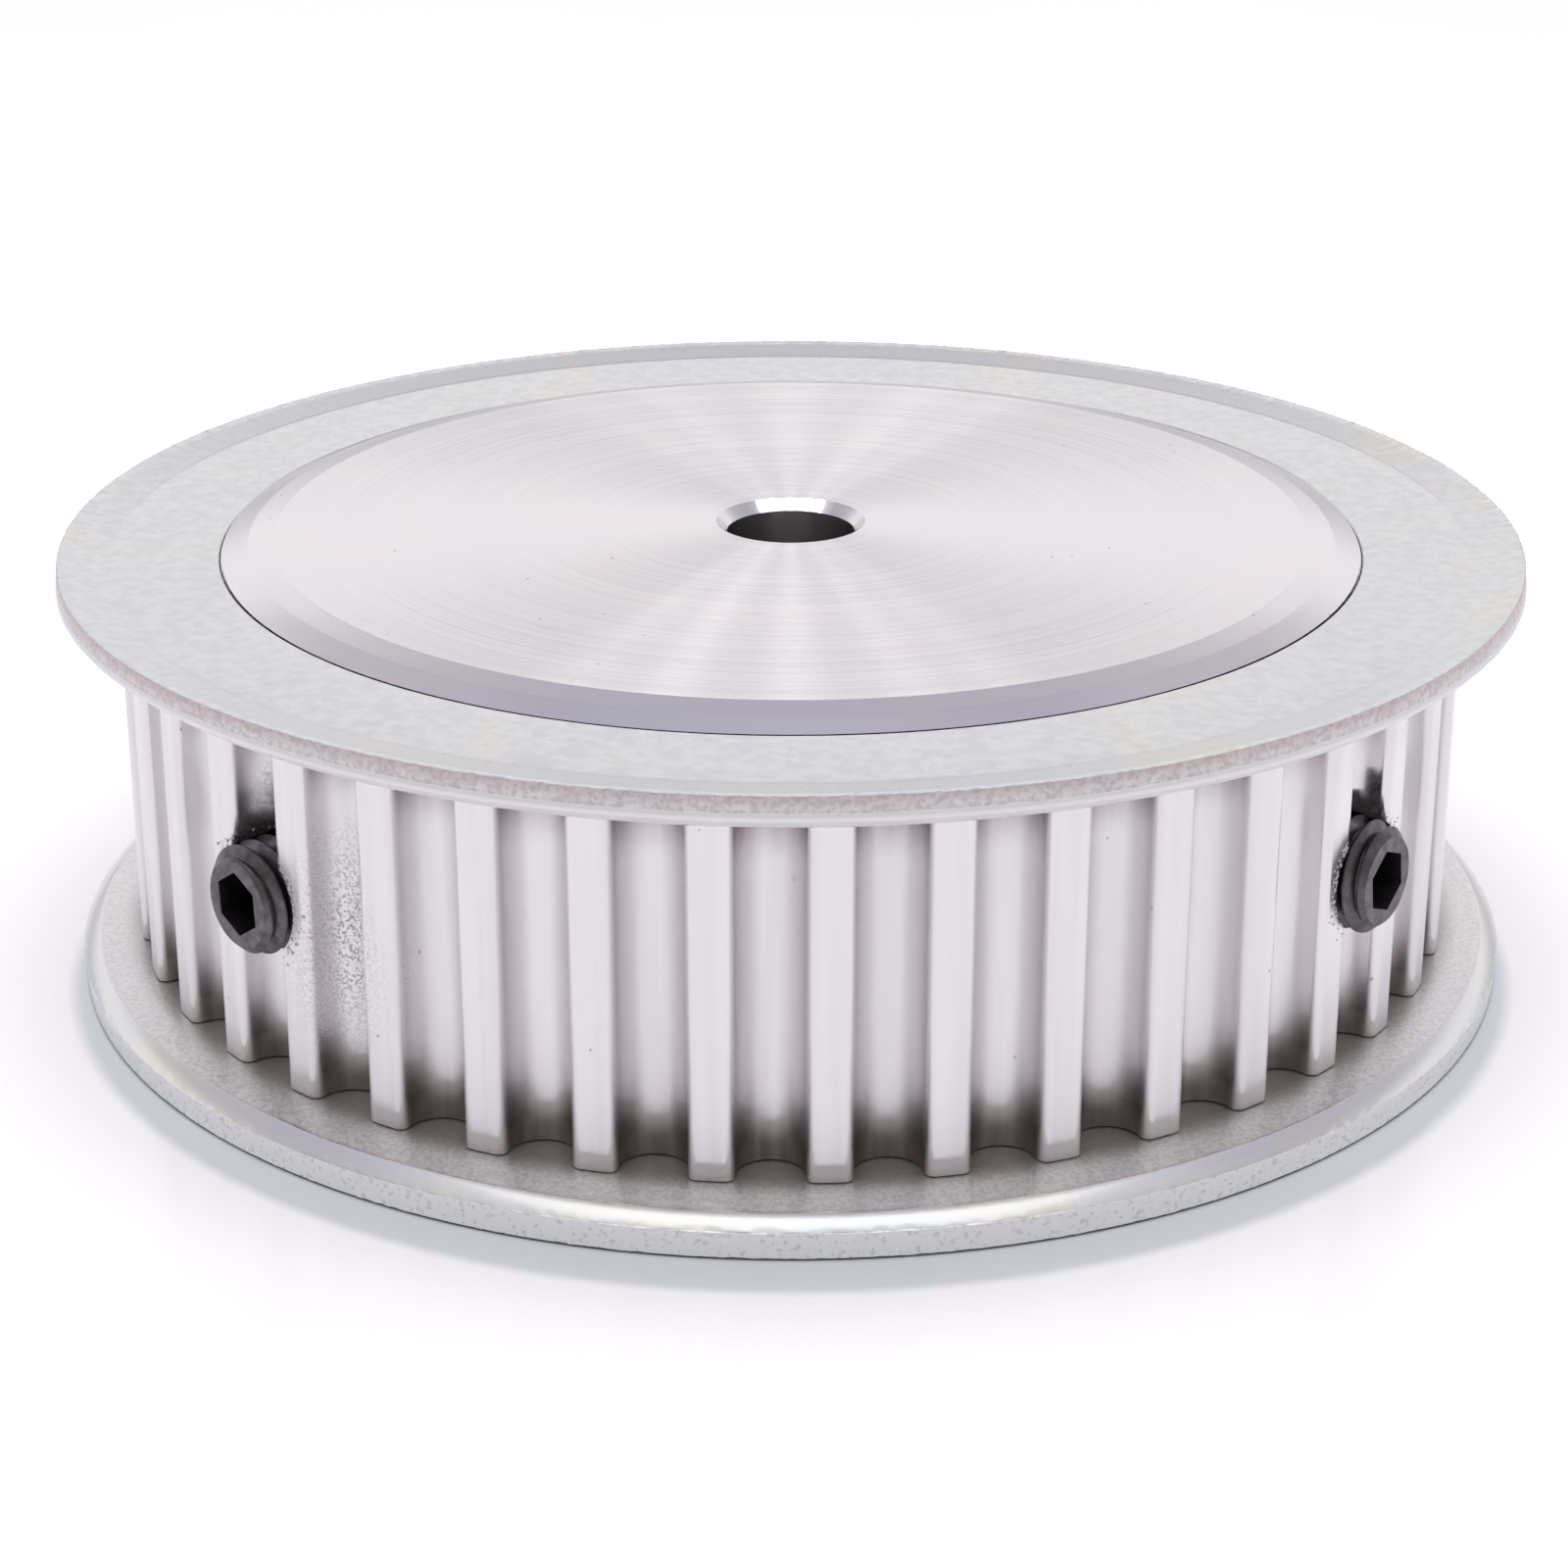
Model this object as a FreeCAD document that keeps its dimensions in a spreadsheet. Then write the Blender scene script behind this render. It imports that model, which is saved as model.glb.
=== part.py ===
"""Timing belt pulley: a toothed aluminium body, two pressed flanges and two set screws.

Millimetres, +Z up along the bore, origin on the bore axis at the lower hub face.
Angles round the bore are measured from -Y towards +X.
"""
import FreeCAD, Part
import Sketcher
import os
from FreeCAD import Placement, Rotation, Vector

# alias: (value, what it is)
SIZES = {
    # the belt and its teeth
    "belt_pitch": (5.0, "pitch of the round-tooth belt"),
    "tooth_count": (40, "grooves round the body"),
    "pitch_line_gap": (0.5715, "from the tooth tips out to the belt's pitch line"),
    "groove_depth": (2.06, "from the tooth tips to the groove floor"),
    "groove_radius": (1.47, "round groove floor"),
    "tip_radius": (0.41, "rounding of both edges of each tooth"),
    "toothed_width": (16.2, "between the flat faces of the flanges"),
    # the hub, its bore and the lips rolled over the flanges
    "bore_radius": (3.0, "bore for a 6 mm shaft"),
    "bore_chamfer": (0.5, "chamfer at each mouth of the bore"),
    "spigot_radius": (25.3, "shoulder that carries each flange"),
    "face_radius": (24.15, "flat turned hub face"),
    "lip_radius": (26.5, "outside of the lip rolled over the flange"),
    "lip_height": (0.6, "rolled lip above the flange"),
    "lip_crown_radius": (25.3, "where the lip's slope steepens"),
    "lip_crown_drop": (0.2, "how far the lip has dropped there"),
    # the flanges
    "flange_radius": (34.0, "outside of the flange"),
    "flange_thickness": (1.5, "sheet thickness"),
    "crease_radius": (31.7, "where the outer face starts to flare"),
    "crease_shift": (0.14, "how much further out the belt side starts to flare"),
    "flare_rise": (0.35, "how far the rim stands out from the flat"),
    "rim_roll": (0.55, "rounded edge on the belt side of the rim"),
    # the set screws and their holes
    "screw_height": (10.45, "screw axis above the lower hub face"),
    "screw_angle": (52.4, "right screw, in the middle of a groove"),
    "screw_spacing": (99.0, "from one screw to the other, eleven grooves"),
    "hole_radius": (2.54, "screw hole, clear of the thread crests"),
    "screw_stand": (32.2, "outer end of each screw from the bore axis"),
    "screw_length": (10.0, "set screw, end to end"),
    "crest_radius": (2.48, "screw shank, at its thread crests"),
    "root_radius": (2.0, "flat outer end, at the thread roots"),
    "socket_flats": (2.5, "hex socket across its flats"),
    "socket_depth": (2.5, "hex socket"),
    "cup_radius": (1.15, "hollow of the cup point"),
    "cup_wall": (0.1, "rim round the hollow of the cup point"),
    "cup_depth": (0.6, "hollow of the cup point, along the axis"),
}

# lengths that several features share, as expressions on the sheet
TIP_CIRCLE = "(Sizes.belt_pitch * Sizes.tooth_count / pi / 2 - Sizes.pitch_line_gap)"
FLANGE_SEAT = "(Sizes.lip_height + Sizes.flange_thickness)"
OVERALL_HEIGHT = f"(Sizes.toothed_width + 2 * {FLANGE_SEAT})"

doc = FreeCAD.newDocument("timing_belt_pulley")
sheet = doc.addObject("Spreadsheet::Sheet", "Sizes")
for row, (alias, (value, meaning)) in enumerate(SIZES.items(), start=1):
    sheet.set(f"A{row}", meaning)
    sheet.set(f"B{row}", str(value))
    sheet.setAlias(f"B{row}", alias)
doc.recompute()


def size(alias):
    """A driving size as a plain number."""
    return float(sheet.get(alias))


def new_body(name):
    """An empty body whose label names its node."""
    body = doc.addObject("PartDesign::Body", name)
    body.Label = name
    return body


def new_sketch(body, name, plane):
    """A sketch on one of the body's own origin planes."""
    sketch = body.newObject("Sketcher::SketchObject", name)
    features = body.Origin.OriginFeatures
    sketch.AttachmentSupport = [(next(f for f in features if f.Role == plane), "")]
    sketch.MapMode = "FlatFace"
    return sketch


def hold(sketch, kind, *place, by):
    """Add a constraint whose value is an expression on the sheet."""
    number = sketch.addConstraint(Sketcher.Constraint(kind, *place, sketch.evalExpression(by)))
    sketch.setExpression(f"Constraints[{number}]", by)


def outline(sketch, corners):
    """A closed outline of straight lines through corners given as pairs of expressions."""
    places = []
    for across, up in corners:
        places.append(Vector(sketch.evalExpression(across), sketch.evalExpression(up), 0))
    for start, finish in zip(places, places[1:] + places[:1]):
        sketch.addGeometry(Part.LineSegment(start, finish), False)
    for line in range(len(places)):
        following = (line + 1) % len(places)
        sketch.addConstraint(Sketcher.Constraint("Coincident", line, 2, following, 1))
    for line, (across, up) in enumerate(corners):
        hold(sketch, "DistanceX", -1, 1, line, 1, by=across)
        hold(sketch, "DistanceY", -1, 1, line, 1, by=up)


def revolve(body, sketch, name):
    """Turn a section in the XZ plane once round the body's Z axis."""
    turned = body.newObject("PartDesign::Revolution", name)
    turned.Profile = sketch
    turned.ReferenceAxis = (sketch, ["V_Axis"])
    turned.Angle = 360
    sketch.Visibility = False
    doc.recompute()
    return turned


def z_axis(body):
    features = body.Origin.OriginFeatures
    return (next(f for f in features if f.Role == "Z_Axis"), [""])


# ---- toothed body: one turned bar with the teeth hobbed into it

def body_section():
    """The body's half section, from the lower bore chamfer round to the upper one."""
    half = [
        ("Sizes.bore_radius", "Sizes.bore_chamfer"),
        ("Sizes.bore_radius + Sizes.bore_chamfer", "0"),
        ("Sizes.face_radius", "0"),
        ("Sizes.lip_crown_radius", "Sizes.lip_crown_drop"),
        ("Sizes.lip_radius", "Sizes.lip_height"),
        ("Sizes.spigot_radius", "Sizes.lip_height"),
        ("Sizes.spigot_radius", FLANGE_SEAT),
        (TIP_CIRCLE, FLANGE_SEAT),
    ]
    mirrored = [(across, f"{OVERALL_HEIGHT} - ({up})") for across, up in reversed(half)]
    return half + mirrored


def groove_outline(sketch):
    """One belt groove: a round floor, a rounded tooth edge each side, a mouth past the tips."""
    tip_circle, groove, tip = sketch.evalExpression(TIP_CIRCLE), size("groove_radius"), size("tip_radius")
    floor_middle = Vector(0, tip_circle - size("groove_depth") + groove, 0)
    reach = tip_circle - tip
    up = (reach ** 2 - (groove + tip) ** 2 + floor_middle.y ** 2) / (2 * floor_middle.y)
    across = (reach ** 2 - up ** 2) ** 0.5
    meets, leaves, crown, mouth = {}, {}, {}, {}
    for side in (-1, 1):
        tip_middle = Vector(side * across, up, 0)
        meets[side] = floor_middle + (tip_middle - floor_middle) * groove / (groove + tip)
        leaves[side] = tip_middle * tip_circle / reach
        halfway = meets[side] + leaves[side] - tip_middle * 2
        crown[side] = tip_middle + halfway.normalize() * tip
        mouth[side] = Vector(leaves[side].x, tip_circle + tip, 0)
    lowest = floor_middle - Vector(0, groove, 0)
    sketch.addGeometry([
        Part.Arc(meets[-1], lowest, meets[1]),
        Part.Arc(leaves[1], crown[1], meets[1]),
        Part.LineSegment(leaves[1], mouth[1]),
        Part.LineSegment(mouth[1], mouth[-1]),
        Part.LineSegment(mouth[-1], leaves[-1]),
        Part.Arc(meets[-1], crown[-1], leaves[-1]),
    ], False)
    floor, right_tip, right_wall, top, left_wall, left_tip = range(6)
    circle = sketch.addGeometry(Part.Circle(Vector(0, 0, 0), Vector(0, 0, 1), tip_circle), True)
    start, end, middle = 1, 2, 3
    vertical_axis = -2
    for rule in (
        ("Coincident", circle, middle, -1, 1),
        ("PointOnObject", floor, middle, vertical_axis),
        ("Tangent", floor, end, right_tip, end),
        ("Tangent", floor, start, left_tip, start),
        ("Tangent", right_tip, start, circle),
        ("Tangent", left_tip, end, circle),
        ("Coincident", right_tip, start, right_wall, start),
        ("Coincident", right_wall, end, top, start),
        ("Coincident", top, end, left_wall, start),
        ("Coincident", left_wall, end, left_tip, end),
        ("Vertical", right_wall),
        ("Vertical", left_wall),
        ("Horizontal", top),
    ):
        sketch.addConstraint(Sketcher.Constraint(*rule))
    hold(sketch, "Radius", circle, by=TIP_CIRCLE)
    hold(sketch, "Radius", floor, by="Sizes.groove_radius")
    hold(sketch, "Radius", right_tip, by="Sizes.tip_radius")
    hold(sketch, "Radius", left_tip, by="Sizes.tip_radius")
    floor_height = f"{TIP_CIRCLE} - Sizes.groove_depth + Sizes.groove_radius"
    hold(sketch, "DistanceY", -1, 1, floor, middle, by=floor_height)
    hold(sketch, "DistanceY", -1, 1, top, start, by=f"{TIP_CIRCLE} + Sizes.tip_radius")


def cut(body, sketch, name, length, upwards):
    """Pocket a sketch into the body, and stop if it takes nothing away."""
    before = body.Shape.Volume
    pocket = body.newObject("PartDesign::Pocket", name)
    pocket.Profile = sketch
    pocket.Reversed = upwards
    pocket.setExpression("Length", length)
    sketch.Visibility = False
    doc.recompute()
    if body.Shape.Volume >= before:
        raise RuntimeError(f"{name} cuts nothing")
    return pocket


def repeat(body, feature, name, count, angle):
    """Repeat a feature round the body's Z axis, over the given angle."""
    pattern = body.newObject("PartDesign::PolarPattern", name)
    pattern.Originals = [feature]
    pattern.Axis = z_axis(body)
    pattern.setExpression("Occurrences", count)
    pattern.setExpression("Angle", angle)
    body.Tip = pattern
    doc.recompute()
    return pattern


def toothed_body():
    """The body with its hub faces, rolled lips, bore, forty grooves and two screw holes."""
    body = new_body("toothed_body")
    section = new_sketch(body, "body_section", "XZ_Plane")
    outline(section, body_section())
    revolve(body, section, "turned_bar")

    groove_sketch = new_sketch(body, "groove_outline", "XY_Plane")
    groove_outline(groove_sketch)
    groove = cut(body, groove_sketch, "groove", OVERALL_HEIGHT, upwards=True)
    repeat(body, groove, "grooves", "Sizes.tooth_count", "360")

    hole_sketch = new_sketch(body, "hole_outline", "XZ_Plane")
    middle = Vector(0, size("screw_height"), 0)
    hole_sketch.addGeometry(Part.Circle(middle, Vector(0, 0, 1), size("hole_radius")), False)
    hole_sketch.addConstraint(Sketcher.Constraint("PointOnObject", 0, 3, -2))
    hold(hole_sketch, "DistanceY", -1, 1, 0, 3, by="Sizes.screw_height")
    hold(hole_sketch, "Radius", 0, by="Sizes.hole_radius")
    hole = cut(body, hole_sketch, "screw_hole", "Sizes.flange_radius", upwards=True)
    holes = repeat(body, hole, "screw_holes", "2", "Sizes.screw_spacing")
    holes.Reversed = True
    doc.recompute()
    body.setExpression("Placement.Rotation.Angle", "Sizes.screw_angle")
    return body


# ---- flanges: the same pressed sheet ring twice, the lower one turned over

def flange_section():
    """The flange's half section with its belt side at the bottom."""
    return [
        ("Sizes.spigot_radius", "0"),
        ("Sizes.crease_radius + Sizes.crease_shift", "0"),
        ("Sizes.flange_radius", "Sizes.flare_rise"),
        ("Sizes.flange_radius", "Sizes.flange_thickness + Sizes.flare_rise"),
        ("Sizes.crease_radius", "Sizes.flange_thickness"),
        ("Sizes.spigot_radius", "Sizes.flange_thickness"),
    ]


def rim_edge(shape):
    """The name of the sharp outer edge on the flange's belt side."""
    rims = []
    for number, edge in enumerate(shape.Edges, start=1):
        box = edge.BoundBox
        if box.XMax > size("flange_radius") - 0.01 and box.ZLength < 0.01:
            rims.append((box.ZMin, f"Edge{number}"))
    return min(rims)[1]


def flange(name, height, turned_over):
    """A flange whose belt side lies at a height, facing down or, turned over, up."""
    body = new_body(name)
    section = new_sketch(body, f"{name}_section", "XZ_Plane")
    outline(section, flange_section())
    pressed = revolve(body, section, f"{name}_ring")
    rounded = body.newObject("PartDesign::Fillet", f"{name}_rim")
    rounded.Base = (pressed, [rim_edge(pressed.Shape)])
    rounded.setExpression("Radius", "Sizes.rim_roll")
    doc.recompute()
    if turned_over:
        body.Placement = Placement(Vector(0, 0, 0), Rotation(Vector(1, 0, 0), 180))
    body.setExpression("Placement.Base.z", height)
    return body


# ---- set screws: headless, hex socket outside, cup point inside, backed out of their holes

def screw_section():
    """The screw's half section, its outer end at zero and its cup point below."""
    bevel = "(Sizes.crest_radius - Sizes.root_radius)"
    cup_rim = "(Sizes.cup_radius + Sizes.cup_wall)"
    return [
        ("0", "0"),
        ("Sizes.root_radius", "0"),
        ("Sizes.crest_radius", f"-{bevel}"),
        ("Sizes.crest_radius", f"-Sizes.screw_length + Sizes.crest_radius - {cup_rim}"),
        (cup_rim, "-Sizes.screw_length"),
        ("Sizes.cup_radius", "-Sizes.screw_length"),
        ("0", "-Sizes.screw_length + Sizes.cup_depth"),
    ]


def socket_corners():
    """The hex socket's six corners."""
    reach = "Sizes.socket_flats / sqrt(3)"
    return [(f"{reach} * cos({turn}deg)", f"{reach} * sin({turn}deg)") for turn in range(0, 360, 60)]


def set_screw(name, angle):
    """A set screw lying along a radius of the body, at an angle round the bore."""
    body = new_body(name)
    section = new_sketch(body, f"{name}_section", "XZ_Plane")
    outline(section, screw_section())
    revolve(body, section, f"{name}_shank")
    socket_sketch = new_sketch(body, f"{name}_socket_outline", "XY_Plane")
    outline(socket_sketch, socket_corners())
    cut(body, socket_sketch, f"{name}_socket", "Sizes.socket_depth", upwards=False)
    degrees = sheet.evalExpression(angle.replace("Sizes.", ""))
    lie_down = Rotation(Vector(1, 0, 0), 90)
    turn_round = Rotation(Vector(0, 0, 1), degrees)
    body.Placement = Placement(Vector(0, 0, 0), turn_round.multiply(lie_down))
    body.setExpression("Placement.Base.x", f"Sizes.screw_stand * sin(({angle}) * 1deg)")
    body.setExpression("Placement.Base.y", f"-Sizes.screw_stand * cos(({angle}) * 1deg)")
    body.setExpression("Placement.Base.z", "Sizes.screw_height")
    return body


# ---- the assembly

bodies = [
    toothed_body(),
    flange("lower_flange", FLANGE_SEAT, turned_over=True),
    flange("upper_flange", f"{FLANGE_SEAT} + Sizes.toothed_width", turned_over=False),
    set_screw("left_set_screw", "Sizes.screw_angle - Sizes.screw_spacing"),
    set_screw("right_set_screw", "Sizes.screw_angle"),
]
doc.recompute()

for item in doc.Objects:
    if "Invalid" in item.State or "Error" in item.State:
        raise RuntimeError(f"{item.Label} failed: {item.State}")

os.makedirs("parts", exist_ok=True)
for body in bodies:
    if body.Shape.isNull() or not body.Shape.isValid() or len(body.Shape.Solids) != 1:
        raise RuntimeError(f"{body.Label} is not one valid solid")
    body.Shape.exportStep(f"parts/{body.Label}.step")
    box = body.Shape.BoundBox
    print(f"{body.Label}: {body.Shape.Volume:.1f} mm3, z {box.ZMin:.2f} to {box.ZMax:.2f}")
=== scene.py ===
# %% [markdown]
# # A flanged timing belt pulley
# A toothed aluminium body carries a belt, a flange at each end keeps the belt on, and two set
# screws hold the body on its shaft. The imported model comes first. It is a fixed frame: its parts
# are never moved, and every new piece is placed from its sizes. One Blender unit is one metre, so
# most sizes below are written in millimetres and multiplied by MM.

# %% Load the frame
import math
import random
import bpy
from mathutils import Matrix, Vector


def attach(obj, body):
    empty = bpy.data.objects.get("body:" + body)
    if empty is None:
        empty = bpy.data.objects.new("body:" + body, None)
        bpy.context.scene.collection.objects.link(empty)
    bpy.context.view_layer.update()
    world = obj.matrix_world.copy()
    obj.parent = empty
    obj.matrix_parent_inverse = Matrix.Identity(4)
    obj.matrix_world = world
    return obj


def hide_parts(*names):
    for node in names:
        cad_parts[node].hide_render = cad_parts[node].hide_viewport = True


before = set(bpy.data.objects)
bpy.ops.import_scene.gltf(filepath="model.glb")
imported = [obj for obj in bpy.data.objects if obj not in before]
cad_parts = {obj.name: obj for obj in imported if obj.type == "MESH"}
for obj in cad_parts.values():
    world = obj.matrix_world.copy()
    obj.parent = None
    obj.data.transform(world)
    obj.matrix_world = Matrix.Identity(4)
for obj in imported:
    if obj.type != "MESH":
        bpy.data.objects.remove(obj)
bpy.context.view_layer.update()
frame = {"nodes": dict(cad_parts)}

MM = 0.001
scene = bpy.context.scene
print("parts in the frame:", ", ".join(frame["nodes"]))

# %% [markdown]
# ## Camera
# The pulley is seen from close by, a little above its rim, so its rings become ellipses that are
# narrower at the back than at the front. A long lens from far away would make them even, and a
# short one from very near would exaggerate them, so the lens and the distance are set together.
# The plain Standard view keeps whites white, as under studio lamps.

# %% Camera
CAMERA_TILT = math.radians(21.887)    # above the horizon
CAMERA_DISTANCE = 170.0 * MM
CAMERA_TARGET = Vector((-0.318, 0, 7.03)) * MM

camera_data = bpy.data.cameras.new("camera")
camera = bpy.data.objects.new("camera", camera_data)
scene.collection.objects.link(camera)
scene.camera = camera
camera_data.sensor_width = 36
camera_data.lens = 80.67
camera_data.clip_start = 0.005
towards_camera = Vector((0, -math.cos(CAMERA_TILT), math.sin(CAMERA_TILT)))
camera.location = CAMERA_TARGET + towards_camera * CAMERA_DISTANCE
camera.rotation_euler = (math.radians(90) - CAMERA_TILT, 0, 0)
scene.view_settings.view_transform = "Standard"
print("camera at", [round(c / MM, 1) for c in camera.location], "mm")

# %% [markdown]
# ## Small helpers for node trees
# A finish is a tree of nodes. Typing the same three lines for each node would hide what the
# finish does, so each kind of node gets a short helper. Every helper takes numbers, colours or
# the outputs of other nodes, and gives back an output.

# %% Helpers for numbers and vectors
def feed(tree, value, socket):
    """Set a socket to a plain value, or link an output to it."""
    if isinstance(value, bpy.types.NodeSocket):
        tree.links.new(value, socket)
    else:
        socket.default_value = value


def sums(tree, operation, *values):
    """One step of arithmetic."""
    node = tree.nodes.new("ShaderNodeMath")
    node.operation = operation
    for value, socket in zip(values, node.inputs):
        feed(tree, value, socket)
    return node.outputs[0]


def times(tree, first, second):
    """One number times another, which for two masks is where both are."""
    return sums(tree, "MULTIPLY", first, second)


def vector_sums(tree, operation, *values):
    """One step of vector arithmetic; a length or a dot product comes out as a number."""
    node = tree.nodes.new("ShaderNodeVectorMath")
    node.operation = operation
    for value, socket in zip(values, node.inputs):
        feed(tree, value, socket)
    return node.outputs[1 if operation in ("LENGTH", "DOT_PRODUCT", "DISTANCE") else 0]


def fade(tree, value, low, high, at_low=0.0, at_high=1.0):
    """A smooth change from one number to another as a value goes from low to high."""
    node = tree.nodes.new("ShaderNodeMapRange")
    node.interpolation_type = "SMOOTHSTEP"
    for given, socket in zip((value, low, high, at_low, at_high), node.inputs):
        feed(tree, given, socket)
    return node.outputs[0]


def blend(tree, amount, first, second):
    """Mix two numbers."""
    node = tree.nodes.new("ShaderNodeMix")
    sockets = (node.inputs[0], node.inputs[2], node.inputs[3])
    for given, socket in zip((amount, first, second), sockets):
        feed(tree, given, socket)
    return node.outputs[0]


def tint(tree, amount, first, second):
    """Mix two colours."""
    node = tree.nodes.new("ShaderNodeMix")
    node.data_type = "RGBA"
    feed(tree, amount, node.inputs[0])
    for given, socket in zip((first, second), (node.inputs[6], node.inputs[7])):
        plain = not isinstance(given, bpy.types.NodeSocket)
        feed(tree, (*given, 1.0) if plain else given, socket)
    return node.outputs[2]


print("helpers for numbers, vectors and colours ready")


# %% Helpers for patterns
def clouds(tree, where, scale, detail=2.0, warp=0.0):
    """Soft random patches about 1 / scale across."""
    node = tree.nodes.new("ShaderNodeTexNoise")
    feed(tree, where, node.inputs["Vector"])
    for name, value in (("Scale", scale), ("Detail", detail), ("Distortion", warp)):
        node.inputs[name].default_value = value
    return node.outputs["Fac"]


def lines(tree, along, scale, detail=2.0):
    """Random bands that change only along one number."""
    node = tree.nodes.new("ShaderNodeTexNoise")
    node.noise_dimensions = "1D"
    feed(tree, along, node.inputs["W"])
    node.inputs["Scale"].default_value = scale
    node.inputs["Detail"].default_value = detail
    return node.outputs["Fac"]


def specks(tree, where, scale, share, size):
    """Small round spots in some cells of a random pattern, 1 inside a spot and 0 outside."""
    node = tree.nodes.new("ShaderNodeTexVoronoi")
    feed(tree, where, node.inputs["Vector"])
    node.inputs["Scale"].default_value = scale
    parts = tree.nodes.new("ShaderNodeSeparateColor")
    tree.links.new(node.outputs["Color"], parts.inputs[0])
    chosen = sums(tree, "LESS_THAN", parts.outputs[0], share)
    return times(tree, chosen, fade(tree, node.outputs["Distance"], size, size * 0.5))


def stretched(tree, where, scale):
    """The same place stretched, so that patches become streaks."""
    node = tree.nodes.new("ShaderNodeMapping")
    feed(tree, where, node.inputs["Vector"])
    node.inputs["Scale"].default_value = scale
    return node.outputs[0]


def place(tree):
    """The place on the piece in millimetres, its height, and its distance from the axis."""
    where = tree.nodes.new("ShaderNodeTexCoord").outputs["Object"]
    where = vector_sums(tree, "SCALE", where)
    where.node.inputs["Scale"].default_value = 1 / MM
    apart = tree.nodes.new("ShaderNodeSeparateXYZ")
    tree.links.new(where, apart.inputs[0])
    flat = vector_sums(tree, "MULTIPLY", where, (1, 1, 0))
    return where, apart.outputs[2], vector_sums(tree, "LENGTH", flat)


print("helpers for patterns ready")


# %% Helpers for a finish
def new_finish(name, anisotropy=0.0):
    """An empty metal finish: its tree and its main shader."""
    finish = bpy.data.materials.new(name)
    finish.use_nodes = True
    shader = finish.node_tree.nodes["Principled BSDF"]
    shader.inputs["Metallic"].default_value = 1.0
    shader.inputs["Anisotropic"].default_value = anisotropy
    return finish, finish.node_tree, shader


def raise_surface(tree, shader, height):
    """Shade the surface as if it rose by a height given in millimetres."""
    bump = tree.nodes.new("ShaderNodeBump")
    bump.inputs["Strength"].default_value = 1.0
    bump.inputs["Distance"].default_value = MM
    feed(tree, height, bump.inputs["Height"])
    tree.links.new(bump.outputs[0], shader.inputs["Normal"])


def around_axis(tree, shader):
    """Let the brushed direction run round the pulley's axis."""
    tangent = tree.nodes.new("ShaderNodeTangent")
    tangent.direction_type = "RADIAL"
    tangent.axis = "Z"
    tree.links.new(tangent.outputs[0], shader.inputs["Tangent"])


print("helpers for a finish ready")

# %% [markdown]
# ## Table
# The pulley stands on a glossy white table with no visible edge. A curved backdrop would hide
# the horizon too, but a plain large plane is enough from above. A little roughness spreads the
# reflection of the lower flange, as on a real table top. A soft grey disc under the lower
# flange, moved a little forwards, keeps the contact shade deep under such strong lamps.

# %% Table
TABLE_SIZE = 6                # metres
TABLE_WHITES = ((0.93, 0.905, 0.935), (0.925, 0.92, 0.945))
CONTACT_SHADE = (0.62, 0.645, 0.69)
SHADE_CENTRE = (0, -2.3, 0)   # in millimetres
SHADE_EDGE = (33.7, 34.6)     # from that centre

bpy.ops.object.select_all(action="DESELECT")
bpy.ops.mesh.primitive_plane_add(size=TABLE_SIZE, location=(0, 0, 0))
table = bpy.context.object
table.name = "table"

table_finish, tree, shader = new_finish("white table")
shader.inputs["Metallic"].default_value = 0.0
shader.inputs["Specular IOR Level"].default_value = 0.4
where, _, _ = place(tree)
patches = clouds(tree, where, 0.02)
colour = tint(tree, patches, *TABLE_WHITES)
across = vector_sums(tree, "DISTANCE", where, SHADE_CENTRE)
shade = fade(tree, across, SHADE_EDGE[1], SHADE_EDGE[0])
feed(tree, tint(tree, shade, colour, CONTACT_SHADE), shader.inputs["Base Color"])
feed(tree, fade(tree, patches, 0.3, 0.7, 0.12, 0.18), shader.inputs["Roughness"])
table.data.materials.append(table_finish)
print("table", [round(side, 1) for side in table.dimensions[:2]], "m")

# %% [markdown]
# ## Surroundings
# Bare metal shows little colour of its own: it shows what is around it. Real white cards and
# dark walls could stand round the pulley, but each would need placing and would throw shadows. So
# the world itself is painted as a room, by direction. It is white low down behind the pulley, a
# cooler grey higher up, and dimmer around the camera, where fewer lamps reach. A direction's
# height above the horizon is the arc sine of its Z.

# %% Surroundings
world = bpy.data.worlds.new("studio")
scene.world = world
world.use_nodes = True
tree = world.node_tree
direction = tree.nodes.new("ShaderNodeTexCoord").outputs["Generated"]
apart = tree.nodes.new("ShaderNodeSeparateXYZ")
tree.links.new(direction, apart.inputs[0])
height = times(tree, sums(tree, "ARCSINE", apart.outputs[2]), 2 / math.pi)   # 1 straight up

# height above the horizon in degrees, and the brightness there
BEHIND = [
    (0, (0.58, 0.57, 0.60)), (8, (0.80, 0.79, 0.81)), (14, (1.12, 1.10, 1.12)),
    (24, (1.08, 1.06, 1.09)), (30, (0.72, 0.71, 0.75)), (38, (0.62, 0.60, 0.68)),
    (52, (0.58, 0.56, 0.66)), (62, (0.68, 0.68, 0.78)), (70, (0.95, 0.95, 0.98)),
    (80, (0.95, 0.95, 0.97)),
]
IN_FRONT = [
    (0, (0.72, 0.71, 0.72)), (9, (0.50, 0.48, 0.48)), (30, (0.46, 0.44, 0.44)),
    (45, (0.74, 0.73, 0.74)), (80, (0.90, 0.90, 0.92)),
]
UNLIT = (0.42, 0.40, 0.40)
UNLIT_REACH = (40, 12)   # degrees from the camera where the unlit part starts and is complete


def sky_ramp(stops):
    """Brightness by height above the horizon."""
    ramp = tree.nodes.new("ShaderNodeValToRGB")
    tree.links.new(height, ramp.inputs[0])
    elements = ramp.color_ramp.elements
    while len(elements) < len(stops):
        elements.new(0.5)
    for element, (degrees, colour) in zip(elements, stops):
        element.position = degrees / 90
        element.color = (*colour, 1.0)
    return ramp.outputs[0]


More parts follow.
